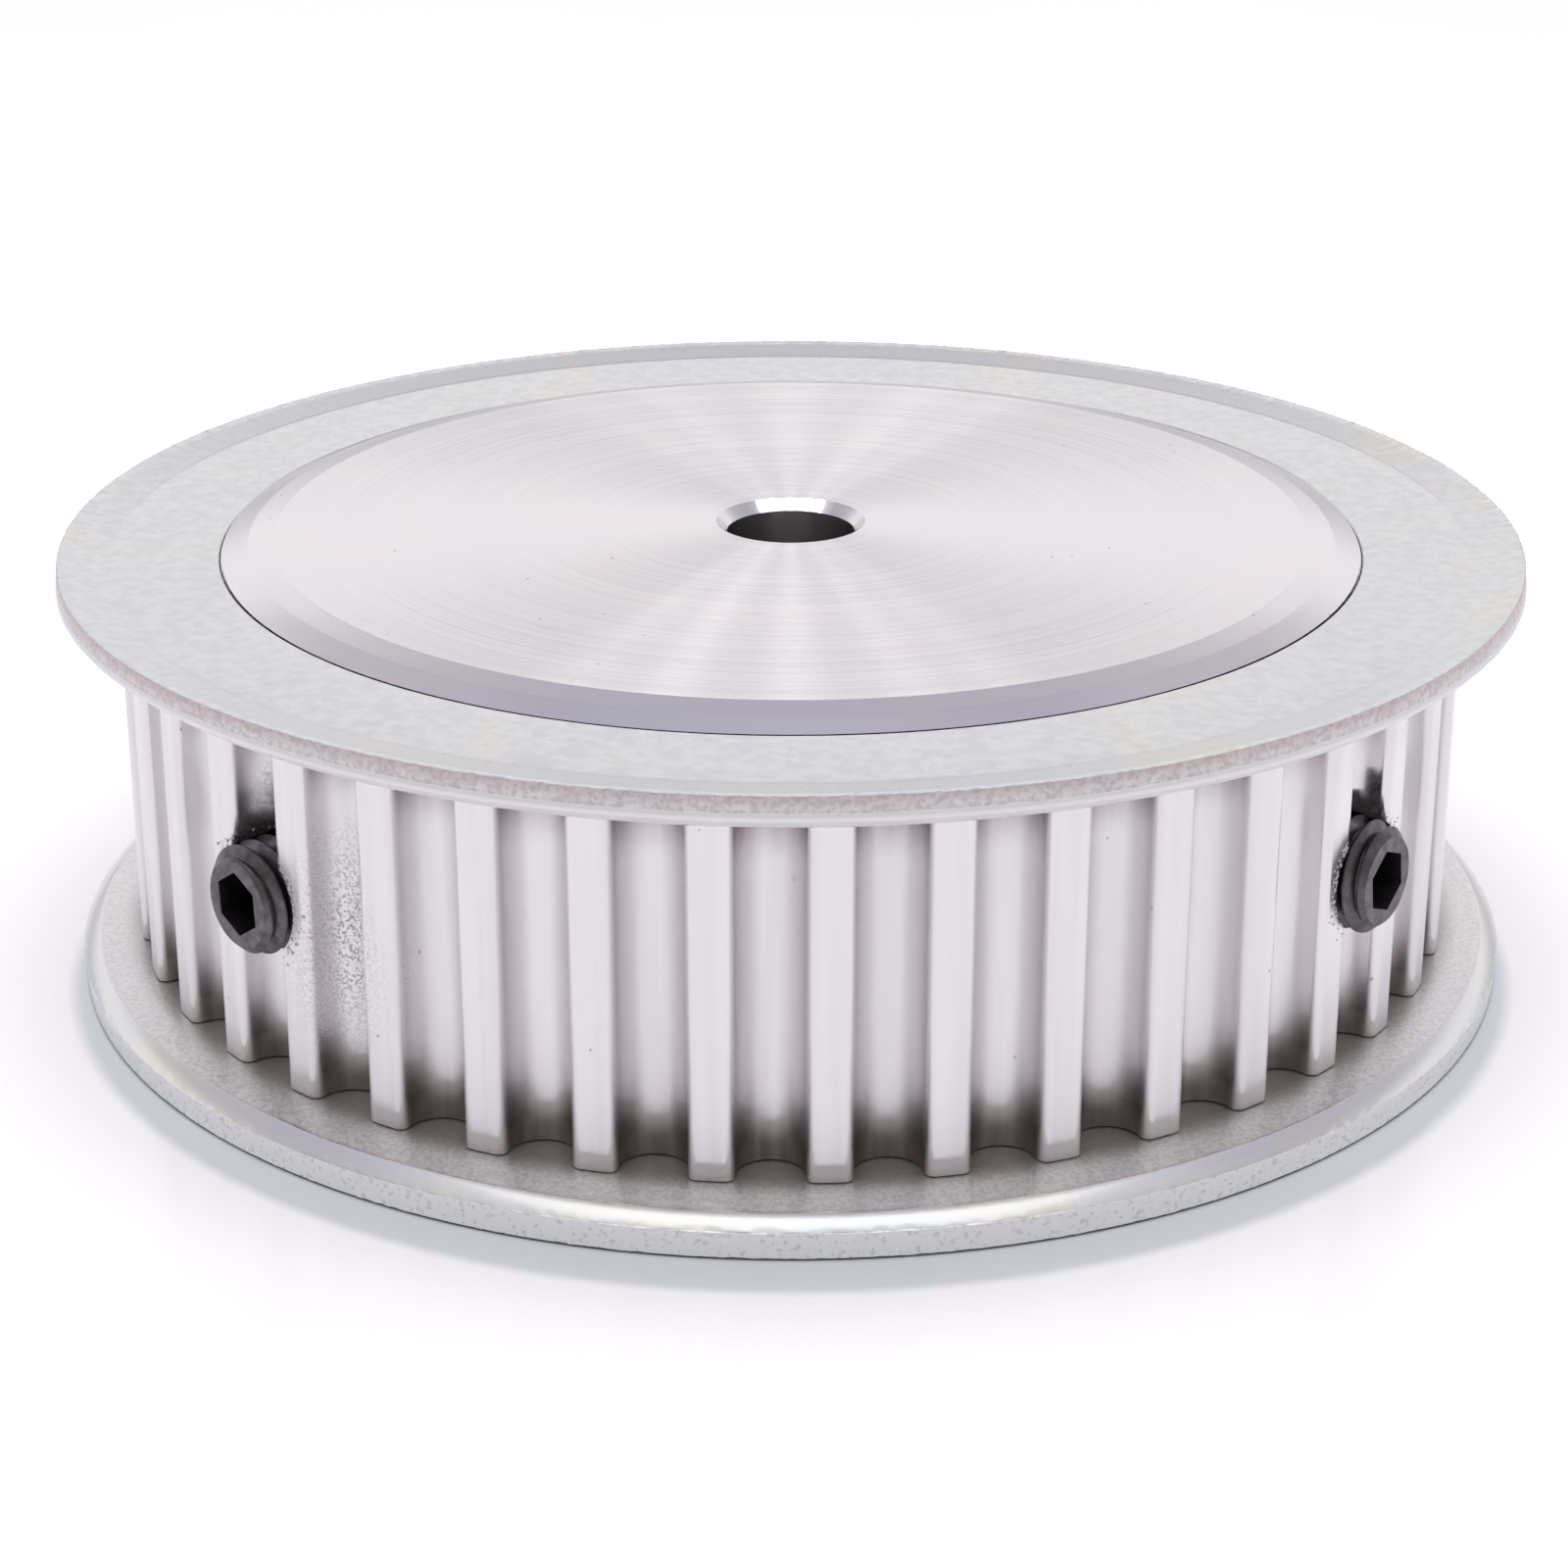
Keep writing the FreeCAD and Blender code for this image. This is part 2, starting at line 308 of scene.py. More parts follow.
facing_camera = vector_sums(tree, "DOT_PRODUCT", direction, tuple(towards_camera))
front_share = fade(tree, apart.outputs[1], 0.25, -0.25)
room = tint(tree, front_share, sky_ramp(BEHIND), sky_ramp(IN_FRONT))
unlit_share = fade(tree, facing_camera, *[math.cos(math.radians(a)) for a in UNLIT_REACH])
room = tint(tree, unlit_share, room, UNLIT)
tree.links.new(room, tree.nodes["Background"].inputs["Color"])
tree.nodes["Background"].inputs["Strength"].default_value = 1.0
print("room with", len(BEHIND) + len(IN_FRONT), "brightness steps")

# %% [markdown]
# ## Lamps
# A turned face mirrors each small bright lamp as one soft radial ray, because its turning marks
# spread a reflection across themselves and nowhere else. Rays painted on the face would turn
# with the pulley, and real ones stay where the lamps put them, so a row of nine very small lamps
# behind the pulley makes them. One large soft panel overhead gives the white line on rounded
# edges. A second panel in the same place makes the table white. By light linking it lights only
# the table, the screws and the lower flange, because it would burn out the bright top when that
# is seen from above. Light linking also keeps the row's hard shadows off the table.

# %% Overhead panels
PANEL_CENTRE = (0, -0.06, 0.75)   # in metres
PANEL_SIZE = (0.72, 0.66)
PANEL_BRIGHTNESS = 0.45
TABLE_PANEL_BRIGHTNESS = 2.45


def panel(name, centre, size, brightness):
    """A flat lamp that faces down; brightness is what a mirror would show."""
    data = bpy.data.lights.new(name, "AREA")
    data.shape = "RECTANGLE"
    data.size, data.size_y = size
    data.energy = brightness * math.pi * size[0] * size[1]
    lamp = bpy.data.objects.new(name, data)
    scene.collection.objects.link(lamp)
    lamp.location = centre
    return lamp


panel("overhead_panel", PANEL_CENTRE, PANEL_SIZE, PANEL_BRIGHTNESS)
table_panel = panel("table_panel", PANEL_CENTRE, PANEL_SIZE, TABLE_PANEL_BRIGHTNESS)
lit_by_panel = bpy.data.collections.new("lit_by_panel")
lit_by_panel.objects.link(table)
table_panel.light_linking.receiver_collection = lit_by_panel
print("two panels", PANEL_CENTRE[2], "m above the table")

# %% Row of small lamps
ROW_LAMPS = 9
ROW_TILT = math.radians(80)   # above the horizon, behind the pulley
ROW_DISTANCE = 0.70
ROW_HALF_WIDTH = 0.28
ROW_JITTER = 0.002
ROW_LAMP_SIZE = (0.0035, 0.0035)
STRONG = (45000, 70000)       # every second lamp, from the first
WEAK = (9000, 18000)

lit_by_row = bpy.data.collections.new("lit_by_row")
draw = random.Random(5)
for number in range(ROW_LAMPS):
    across = (number / (ROW_LAMPS - 1) * 2 - 1) * ROW_HALF_WIDTH
    across += draw.uniform(-ROW_JITTER, ROW_JITTER)
    centre = (across, ROW_DISTANCE * math.cos(ROW_TILT), ROW_DISTANCE * math.sin(ROW_TILT))
    brightness = draw.uniform(*(STRONG if number % 2 == 0 else WEAK))
    lamp = panel(f"row_lamp_{number:02d}", centre, ROW_LAMP_SIZE, brightness)
    lamp.rotation_euler = (ROW_TILT - math.pi / 2, 0, 0)
    lamp.light_linking.receiver_collection = lit_by_row
print("row of", ROW_LAMPS, "lamps")

# %% [markdown]
# ## Machined aluminium
# The toothed body is one turned bar: its faces carry fine rings and its teeth carry streaks
# along the axis. Both could be cut into the mesh, but such fine marks would need millions of
# faces, so they are patterns in the finish. Rings are random bands of the distance from the
# axis, streaks are patches stretched in Z, and a switch on that distance picks between the two.
# Strong anisotropy, turned to point outwards on the faces, draws a lamp out into a ray. Use
# leaves its own marks: grey grit in the groove beside the left screw, and torn metal close round
# both drilled holes. Two marks are painted light: painted shade, dark brown, in the feet of the
# grooves where they meet a flange, and a painted dark reflection of the left screw in the groove
# above it.

# %% Where things are on the toothed body
HOLES = [(-0.726575, -0.687088), (0.792290, -0.610145)]  # where the screws point, from above
SCREW_HEIGHT = 10.45
MIDDLE = 10.2                # half the pulley's height
FACE_TO_LIP = (24.1, 24.2)   # the hub face ends here and the rolled lip starts
FACE_TO_TEETH = (27.3, 28.3)
TOOTH_TO_GROOVE = (31.1, 30.5)
# the middle of a painted dark reflection of the left screw, in the groove above it
SCREW_REFLECTION_CENTRE = (HOLES[0][0] * 29.6, HOLES[0][1] * 29.6, 13.3)
GRIT_CENTRE = (-18.2, -23.6, 9.3)


def hole_distance(tree, where, direction):
    """How far a place is from the line through a screw hole, and how far out along it."""
    outward = (direction[0], direction[1], 0)
    centred = vector_sums(tree, "SUBTRACT", where, (0, 0, SCREW_HEIGHT))
    along = vector_sums(tree, "DOT_PRODUCT", centred, outward)
    line = vector_sums(tree, "SCALE", outward)
    feed(tree, along, line.node.inputs["Scale"])
    return vector_sums(tree, "LENGTH", vector_sums(tree, "SUBTRACT", centred, line)), along


def spot_distance(tree, where, centre, squash):
    """How far a place is from a spot that is taller than it is wide."""
    offset = vector_sums(tree, "SUBTRACT", where, centre)
    return vector_sums(tree, "LENGTH", vector_sums(tree, "MULTIPLY", offset, (1, 1, squash)))


print("holes point to", [round(math.degrees(math.atan2(y, x))) for x, y in HOLES], "degrees")


# %% Marks on the toothed body
def paint_groove_shade(tree, streaks, z, radius):
    """Painted shade, dark brown, in the foot of each groove, where it meets a flange."""
    end = sums(tree, "ABSOLUTE", sums(tree, "SUBTRACT", z, MIDDLE))
    painted_groove_shade = times(tree, fade(tree, end, 5.0, 7.9), fade(tree, radius, *TOOTH_TO_GROOVE))
    return times(tree, painted_groove_shade, fade(tree, streaks, 0.2, 0.7, 0.85, 0.6))


def torn_metal(tree, holes, grit):
    """Torn metal close round the drilled holes."""
    near = []
    for away, along in holes:
        near.append(times(tree, fade(tree, away, 3.1, 2.6), fade(tree, along, 26.0, 28.5)))
    return times(tree, sums(tree, "MAXIMUM", *near), fade(tree, grit, 0.50, 0.56))


def paint_screw_reflection(tree, where, grit):
    """A painted dark reflection of the left screw in the groove above it, with a ragged edge."""
    away = spot_distance(tree, where, SCREW_REFLECTION_CENTRE, 0.48)
    return fade(tree, sums(tree, "ADD", away, times(tree, grit, 0.9)), 2.3, 0.9)


def groove_grit(tree, where):
    """Grey grit in the groove beside the left screw."""
    away = spot_distance(tree, where, GRIT_CENTRE, 0.6)
    fine = clouds(tree, where, 9.0, 5.0)
    return times(tree, fade(tree, away, 4.2, 0.6), fade(tree, fine, 0.46, 0.62))


print("marks ready: grime, torn metal, soot, grit")


# %% Machined aluminium
def machined_aluminium():
    finish, tree, shader = new_finish("machined aluminium", anisotropy=1.0)
    where, z, radius = place(tree)
    turned = fade(tree, radius, FACE_TO_TEETH[1], FACE_TO_TEETH[0])
    on_lip = fade(tree, radius, *FACE_TO_LIP)
    on_face = fade(tree, radius, FACE_TO_LIP[1], FACE_TO_LIP[0])
    patches = clouds(tree, where, 0.09, 2.0, 0.6)
    streaks = clouds(tree, stretched(tree, where, (1.7, 1.7, 0.05)), 1.0, 3.0)
    rings = lines(tree, radius, 2.4, 3.0)
    grit = clouds(tree, where, 5.5, 4.0)
    pits = specks(tree, where, 1.1, 0.10, 0.09)
    holes = [hole_distance(tree, where, direction) for direction in HOLES]
    torn = torn_metal(tree, holes, grit)
    painted_screw_reflection = paint_screw_reflection(tree, where, grit)
    gritty = groove_grit(tree, where)

    # colour: clean metal first, then each mark over it
    share = fade(tree, patches, 0.35, 0.65)
    face_colour = tint(tree, share, (0.685, 0.672, 0.685), (0.715, 0.675, 0.685))
    share = fade(tree, streaks, 0.3, 0.7)
    tooth_colour = tint(tree, share, (0.725, 0.70, 0.715), (0.755, 0.73, 0.745))
    # painted shade, dark brown, in the feet of the grooves where they meet a flange
    painted_groove_shade = paint_groove_shade(tree, streaks, z, radius)
    tooth_colour = tint(tree, painted_groove_shade, tooth_colour, (0.21, 0.17, 0.155))
    colour = tint(tree, turned, tooth_colour, face_colour)
    for mark, strength, mark_colour in (
        (pits, 0.55, (0.25, 0.23, 0.24)),
        (torn, 0.22, (0.30, 0.28, 0.29)),
        # a painted dark reflection of the left screw in the groove above it
        (painted_screw_reflection, 0.85, (0.10, 0.085, 0.085)),
        (gritty, 0.32, (0.36, 0.34, 0.35)),
    ):
        colour = tint(tree, times(tree, mark, strength), colour, mark_colour)
    feed(tree, colour, shader.inputs["Base Color"])

    # shine: rings on the faces, streaks on the teeth, polished near the right hole
    face_shine = fade(tree, rings, 0.3, 0.7, 0.13, 0.145)
    face_shine = blend(tree, on_lip, face_shine, 0.09)
    polished = fade(tree, holes[1][0], 6.5, 4.5)
    tooth_shine = fade(tree, streaks, 0.3, 0.7, 0.25, 0.20)
    tooth_shine = blend(tree, polished, tooth_shine, 0.15)
    shine = blend(tree, turned, tooth_shine, face_shine)
    # rougher where the metal is torn, where the grit lies, and where the left screw's dark
    # reflection is painted
    dull = sums(tree, "MAXIMUM", torn, sums(tree, "MAXIMUM", painted_screw_reflection, gritty))
    feed(tree, sums(tree, "ADD", shine, times(tree, dull, 0.3)), shader.inputs["Roughness"])

    # a reflection spreads outwards on the faces, and round the axis on the teeth and lips
    around_axis(tree, shader)
    feed(tree, times(tree, on_face, 0.25), shader.inputs["Anisotropic Rotation"])

    # relief in millimetres
    depth = blend(tree, on_lip, 0.006, 0.0015)
    turning_marks = times(tree, lines(tree, radius, 24.0, 1.0), depth)
    turning_marks = sums(tree, "ADD", turning_marks, times(tree, rings, 0.004))
    relief = blend(tree, turned, times(tree, streaks, 0.004), turning_marks)
    relief = sums(tree, "SUBTRACT", relief, times(tree, pits, 0.012))
    relief = sums(tree, "ADD", relief, times(tree, torn, 0.002))
    raise_surface(tree, shader, relief)
    return finish


aluminium = machined_aluminium()
body_node = frame["nodes"]["toothed_body"]
for material_slot in body_node.material_slots:
    material_slot.material = aluminium
lit_by_row.objects.link(body_node)
print("aluminium on toothed_body,", len(body_node.data.polygons), "faces")

# %% [markdown]
# ## Zinc plated steel
# The flanges are blanked from sheet and plated. The plating is satin, with faint yellow and
# blue patches, and the belt rubs its own side dull. The blanked rim is torn on the upper flange:
# brown-grey, rough and speckled, hardly metallic, over a smooth bright band. The lower rim is
# bright, with a few specks. Each region could be a material of its own, but the borders would
# then be hard, so one finish fades between them by radius and height.

# %% Regions of a flange
BELT_SIDE_HEIGHT = (9.0, 8.9)   # from the pulley's middle; the belt side is nearer


def zinc_sheet(tree, where):
    """The plain sheet, and the mottle that also changes its shine."""
    warm = fade(tree, clouds(tree, where, 0.11, 2.0, 1.0), 0.42, 0.66)
    cool = fade(tree, clouds(tree, where, 0.07, 2.0, 0.5), 0.45, 0.7)
    colour = tint(tree, warm, (0.685, 0.695, 0.695), (0.715, 0.705, 0.66))
    colour = tint(tree, cool, colour, (0.675, 0.69, 0.71))
    mottle = clouds(tree, where, 1.6, 4.0)
    share = fade(tree, mottle, 0.35, 0.75, 0.0, 0.10)
    return tint(tree, share, colour, (0.58, 0.58, 0.59)), mottle


def rub_and_shade_belt_side(tree, colour, worn, belt_side, radius):
    """The side rubbed dull by the belt, with painted shade, dark brown, in the corner by the
    teeth.
    """
    share = fade(tree, worn, 0.34, 0.62)
    rubbed = tint(tree, share, (0.68, 0.655, 0.65), (0.85, 0.83, 0.82))
    colour = tint(tree, times(tree, belt_side, 0.9), colour, rubbed)
    # painted shade, dark brown, on the flange in the corner by the teeth
    painted_corner_shade = times(tree, belt_side, fade(tree, radius, 32.3, 30.6))
    return tint(tree, times(tree, painted_corner_shade, 0.75), colour, (0.27, 0.235, 0.22))


def rim_colour(tree, where, away, speckle, upper_side):
    """The torn rim: brown-grey with specks on the upper flange, bright on the lower one."""
    streaky = clouds(tree, stretched(tree, where, (1.6, 1.6, 0.5)), 1.0, 3.0)
    share = fade(tree, streaky, 0.35, 0.6)
    rust = tint(tree, share, (0.73, 0.69, 0.68), (0.79, 0.78, 0.76))
    rust = tint(tree, fade(tree, away, 9.35, 9.95), rust, (0.64, 0.55, 0.55))
    upper_rim = tint(tree, fade(tree, speckle, 0.40, 0.56, 0.30, 0.0), rust, (0.32, 0.28, 0.28))
    share = fade(tree, away, 8.93, 9.2)
    satin = tint(tree, share, (0.96, 0.90, 0.90), (0.95, 0.94, 0.92))
    lower_rim = tint(tree, fade(tree, speckle, 0.36, 0.44, 0.35, 0.0), satin, (0.40, 0.38, 0.37))
    return tint(tree, upper_side, lower_rim, upper_rim)


print("regions of a flange ready: sheet, belt side, rim")


# %% Zinc plated steel
def zinc_plate():
    finish, tree, shader = new_finish("zinc plate")
    where, z, radius = place(tree)
    away = sums(tree, "ABSOLUTE", sums(tree, "SUBTRACT", z, MIDDLE))
    upper_side = fade(tree, z, 9.0, 11.0)
    worn = clouds(tree, where, 5.0, 5.0)
    speckle = clouds(tree, where, 4.2, 5.0)

    # masks: the belt side, its rolled edge, the torn rim, and the smooth band under the upper one
    facing_belt = fade(tree, away, *BELT_SIDE_HEIGHT)
    belt_side = times(tree, facing_belt, fade(tree, radius, 33.4, 33.0))
    rolled = times(tree, facing_belt, fade(tree, radius, 33.1, 33.3))
    past_edge = sums(tree, "SUBTRACT", away, blend(tree, upper_side, 8.93, 9.23))
    torn = times(tree, fade(tree, radius, 33.86, 33.91), fade(tree, past_edge, -0.04, 0.04))
    band = times(tree, upper_side, fade(tree, radius, 33.3, 33.6))
    band = times(tree, band, fade(tree, away, 9.25, 9.2))
    on_rim = sums(tree, "MAXIMUM", torn, band)

    colour, mottle = zinc_sheet(tree, where)
    colour = rub_and_shade_belt_side(tree, colour, worn, belt_side, radius)
    colour = tint(tree, torn, colour, rim_colour(tree, where, away, speckle, upper_side))
    colour = tint(tree, band, colour, (0.85, 0.84, 0.85))
    feed(tree, colour, shader.inputs["Base Color"])

    shine = fade(tree, mottle, 0.3, 0.7, 0.24, 0.32)
    shine = blend(tree, belt_side, shine, fade(tree, worn, 0.3, 0.7, 0.32, 0.42))
    shine = blend(tree, rolled, shine, 0.2)
    shine = blend(tree, on_rim, shine, blend(tree, upper_side, 0.28, 0.5))
    feed(tree, shine, shader.inputs["Roughness"])
    metallic = blend(tree, belt_side, 1.0, 0.7)
    metallic = blend(tree, on_rim, metallic, blend(tree, upper_side, 0.9, 0.35))
    feed(tree, metallic, shader.inputs["Metallic"])

    depth = blend(tree, belt_side, 0.0025, 0.008)
    grain = times(tree, clouds(tree, where, 3.0, 4.0), depth)
    raise_surface(tree, shader, blend(tree, torn, grain, times(tree, speckle, 0.03)))
    return finish


zinc = zinc_plate()
print("zinc finish ready,", len(zinc.node_tree.nodes), "nodes")

# %% [markdown]
# ## Black oxide
# The set screws are hardened steel with a thin black skin. A plain black would look like
# plastic or paint. The skin is a dark metal with a soft grey shine, so the finish stays fully
# metallic, and some patches are worn lighter, down towards the bare steel.

# %% Black oxide
def black_oxide():
    finish, tree, shader = new_finish("black oxide")
    where, _, _ = place(tree)
    skin = clouds(tree, where, 2.2, 4.0)
    share = fade(tree, skin, 0.3, 0.7)
    colour = tint(tree, share, (0.095, 0.087, 0.094), (0.145, 0.136, 0.145))
    worn = fade(tree, clouds(tree, where, 5.0, 3.0), 0.66, 0.74)
    colour = tint(tree, times(tree, worn, 0.5), colour, (0.36, 0.34, 0.35))
    feed(tree, colour, shader.inputs["Base Color"])
    feed(tree, fade(tree, skin, 0.3, 0.7, 0.42, 0.30), shader.inputs["Roughness"])
    raise_surface(tree, shader, times(tree, clouds(tree, where, 7.0, 3.0), 0.012))
    return finish


oxide = black_oxide()
print("black oxide ready,", len(oxide.node_tree.nodes), "nodes")

# %% [markdown]
# ## Helpers for shaping
# An operator acts on whatever is selected, so each piece starts with nothing selected. A turned
# part is drawn as half a section, one corner after another, and turned once round the axis. Spin
# would do this turning too, but the Screw modifier with no rise is much faster when the steps
# are many.

# %% Helpers for one piece
def only(piece):
    """Select one piece and make it the active one."""
    bpy.ops.object.select_all(action="DESELECT")
    piece.select_set(True)
    bpy.context.view_layer.objects.active = piece


def settle(piece):
    """Put the piece's place, turn and size into its mesh."""
    only(piece)
    bpy.ops.object.transform_apply(location=True, rotation=True, scale=True)


def apply_all(piece):
    """Apply every modifier, first to last."""
    only(piece)
    for modifier in list(piece.modifiers):
        bpy.ops.object.modifier_apply(modifier=modifier.name)


print("helpers for one piece ready")

# %% Helpers for turned parts
CORNER_GAP = 0.0001   # corners nearer than this are one, in mm
SEAM_GAP = 0.001      # the same for points on a seam


def draw_section(name, corners, closed):
    """A section in the XZ plane: one point, extruded from corner to corner, in millimetres."""
    bpy.ops.object.select_all(action="DESELECT")
    start = Vector((corners[0][0], 0, corners[0][1])) * MM
    bpy.ops.mesh.primitive_plane_add(size=MM, location=start)
    piece = bpy.context.object
    piece.name = piece.data.name = name
    settle(piece)
    bpy.ops.object.mode_set(mode="EDIT")
    bpy.ops.mesh.select_all(action="SELECT")
    bpy.ops.mesh.merge(type="CENTER")
    for (x0, z0), (x1, z1) in zip(corners, corners[1:] + corners[:1] * closed):
        step = Vector((x1 - x0, 0, z1 - z0)) * MM
        bpy.ops.mesh.extrude_region_move(TRANSFORM_OT_translate={"value": step})
    bpy.ops.mesh.select_all(action="SELECT")
    bpy.ops.mesh.remove_doubles(threshold=CORNER_GAP * MM)
    bpy.ops.object.mode_set(mode="OBJECT")
    return piece


def turn_section(piece, steps):
    """Turn a drawn section once round the pulley's axis and close the seam."""
    turning = piece.modifiers.new("turning", "SCREW")
    turning.angle = 2 * math.pi
    turning.steps = turning.render_steps = steps
    turning.use_merge_vertices = True
    turning.merge_threshold = SEAM_GAP * MM
    apply_all(piece)
    bpy.ops.object.mode_set(mode="EDIT")
    bpy.ops.mesh.select_all(action="SELECT")
    bpy.ops.mesh.remove_doubles(threshold=SEAM_GAP * MM)
    bpy.ops.mesh.normals_make_consistent(inside=False)
    bpy.ops.object.mode_set(mode="OBJECT")


def arc(centre, radius, first, last, steps):
    """Corners along an arc, with angles in degrees."""
    turns = [math.radians(first + (last - first) * n / steps) for n in range(steps + 1)]
    return [(centre[0] + radius * math.cos(t), centre[1] + radius * math.sin(t)) for t in turns]


print("helpers for turned parts ready")


# %% Helpers for rough surfaces
def mark_points(piece, name, wanted):
    """A vertex group of the points whose distance from the axis and height are wanted, in mm."""
    group = piece.vertex_groups.new(name=name)
    chosen = []
    for vertex in piece.data.vertices:
        x, y, z = vertex.co / MM
        if wanted(math.hypot(x, y), z):
            chosen.append(vertex.index)
    group.add(chosen, 1.0, "REPLACE")
    return len(chosen)


def roughen(piece, group, grain_size, depth, middle, direction="NORMAL"):
    """Push the points of a group in and out by a random cloud pattern, sizes in mm."""
    pattern = bpy.data.textures.new(f"{piece.name}_{group}", "CLOUDS")
    pattern.noise_scale = grain_size * MM
    pattern.noise_depth = 2
    modifier = piece.modifiers.new(group, "DISPLACE")
    modifier.texture = pattern
    modifier.texture_coords = "LOCAL"
    modifier.vertex_group = group
    modifier.direction = direction
    modifier.strength = depth * MM
    modifier.mid_level = middle


print("helpers for rough surfaces ready")

# %% [markdown]
# ## Flanges
# Each flange is a blanked steel ring, bent slightly outwards beyond a crease. Blanking leaves a
# rounded edge on the belt side and a torn edge with a small burr on the outer side. A flat ring
# with a bevel would have the same edge all round and none of the tear. So the whole section is
# drawn and turned, and displace modifiers then roughen the torn band, the burr and the sharp
# edge, and make the flat a little wavy, each on its own group of points. The rounded edge is
# three arcs: two tight ones, and a wide one between them that catches the lamp.

# %% Flange section
FLANGE_RADIUS = 34.0
SPIGOT_RADIUS = 25.3
LIP_RADIUS = 26.5
CREASE_RADIUS = 31.7
FLARE = 0.35
THICKNESS = 1.5
SHARP_EDGE = 0.83           # the rounded edge stops in a sharp one, this far above the belt side
FIRST_TILT = 6              # how far from level the rounded edge starts
ROLLS = [(0.25, 26), (2.45, 46), (0.35, 58)]    # radius of each arc, and the tilt it ends at
TORN_STEPS = 8
RIM_INSET = 0.02            # how far the torn band starts inside the sharp edge


def rolled_edge():
    """The three arcs, worked out backwards from the sharp edge."""
    corners = [(FLANGE_RADIUS, SHARP_EDGE)]
    starts = [FIRST_TILT] + [tilt for _, tilt in ROLLS]
    for start, (radius, end) in reversed(list(zip(starts, ROLLS))):
        across, up = corners[0]
        tilt = math.radians(end)
        centre = (across - radius * math.sin(tilt), up + radius * math.cos(tilt))
        corners = arc(centre, radius, start - 90, end - 90, 5)[:-1] + corners
    return corners


def flange_corners(smooth_band, burr_height):
    """The section with its belt side at zero, and a smooth band below the torn one."""
    belt_side = [(SPIGOT_RADIUS, 0.06), (31.4, 0.06), (CREASE_RADIUS, 0.065), (31.95, 0.09)]
    belt_side += [(32.6, 0.17)]
    smooth = [(FLANGE_RADIUS, SHARP_EDGE + smooth_band * n / 3) for n in range(1, 3)]
    first = SHARP_EDGE + smooth_band + 0.02
    rise = (THICKNESS + FLARE - 0.02 - first) / TORN_STEPS
    torn = [(FLANGE_RADIUS - RIM_INSET - 0.006 * n, first + rise * n)
            for n in range(TORN_STEPS + 1)]
    burr = [(33.93, THICKNESS + FLARE + burr_height), (33.82, 1.835)]
    outer_side = [(33.3, 1.745), (32.5, 1.622), (31.9, 1.532), (31.78, 1.513), (31.72, 1.49)]
    outer_side += [(31.66, 1.497), (31.5, THICKNESS), (30.0, THICKNESS), (28.4, THICKNESS)]
    under_lip = [(LIP_RADIUS + 0.13, THICKNESS), (LIP_RADIUS + 0.03, 1.41), (SPIGOT_RADIUS, 1.41)]
    return belt_side + rolled_edge() + smooth + torn + burr + outer_side + under_lip


print("flange section of", len(flange_corners(0.0, 0.0)), "corners")

# %% Upper and lower flange
FLANGE_STEPS = 1260
UPPER_BELT_SIDE = 18.30     # heights above the table, in mm
LOWER_BELT_SIDE = 2.10
CREASE_ANGLE = math.radians(35)


def make_flange(name, belt_height, way, smooth_band, burr_height, tear):
    """A flange at a height; way is 1 with its outer side up and -1 with its outer side down.
    tear is how deep the torn band is roughened."""
    section = flange_corners(smooth_band, burr_height)
    placed = [(across, belt_height + way * up) for across, up in section]
    piece = draw_section(name, placed, closed=True)
    turn_section(piece, FLANGE_STEPS)

    def up(z):
        return (z - belt_height) * way

    first_torn = SHARP_EDGE + smooth_band + 0.01
    count = mark_points(piece, "torn", lambda r, z: r > 33.87 and up(z) > first_torn)
    mark_points(piece, "burr", lambda r, z: r > 33.78 and up(z) > 1.8)
    mark_points(piece, "edge", lambda r, z: r > 33.9 and abs(up(z) - SHARP_EDGE) < 0.06)
    mark_points(piece, "flat", lambda r, z: r < 33.8)
    roughen(piece, "torn", 0.30, tear, 1.0)
    roughen(piece, "burr", 0.22, 0.07 * way, 0.6, "Z")
    roughen(piece, "edge", 0.6, 0.07, 0.5, "Z")
    roughen(piece, "flat", 9.0, 0.03, 0.5, "Z")
    apply_all(piece)
    bpy.ops.object.shade_smooth_by_angle(angle=CREASE_ANGLE)
    piece.data.materials.append(zinc)
    print(name, len(piece.data.polygons), "faces,", count, "torn points")
    return piece


upper = make_flange("upper_flange_plate", UPPER_BELT_SIDE, 1, 0.30, 0.0, 0.07)
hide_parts("upper_flange")
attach(upper, "pulley")
lower = make_flange("lower_flange_plate", LOWER_BELT_SIDE, -1, 0.0, 0.16, 0.03)
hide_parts("lower_flange")
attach(lower, "pulley")
lit_by_panel.objects.link(lower)

# %% [markdown]
# ## Crumbs round the screw holes
# Drilling through the teeth leaves crumbs of torn metal clinging round each hole. A bump in the
# finish alone would look flat where they stand up against the dark hole, so each crumb is a
# small squashed ball. A ray sent inwards beside the hole finds the metal that it sits on.

# %% Crumbs round the screw holes
CRUMB_REACH = (2.62, 3.35)         # from the middle of the hole, in mm
CRUMB_SIZE = (0.04, 0.15, 0.06)    # smallest, largest and most common radius


def make_crumb(spot, draw):
    """One squashed ball, with its turn, size and squash drawn at random."""
    turned = [draw.uniform(0, math.pi) for _ in range(3)]
    size = draw.triangular(*CRUMB_SIZE) * MM
    bpy.ops.mesh.primitive_ico_sphere_add(
        subdivisions=1, radius=size, location=spot, rotation=turned)
    crumb = bpy.context.object
    crumb.scale = (1.0, draw.uniform(0.5, 0.9), draw.uniform(0.35, 0.7))
    return crumb


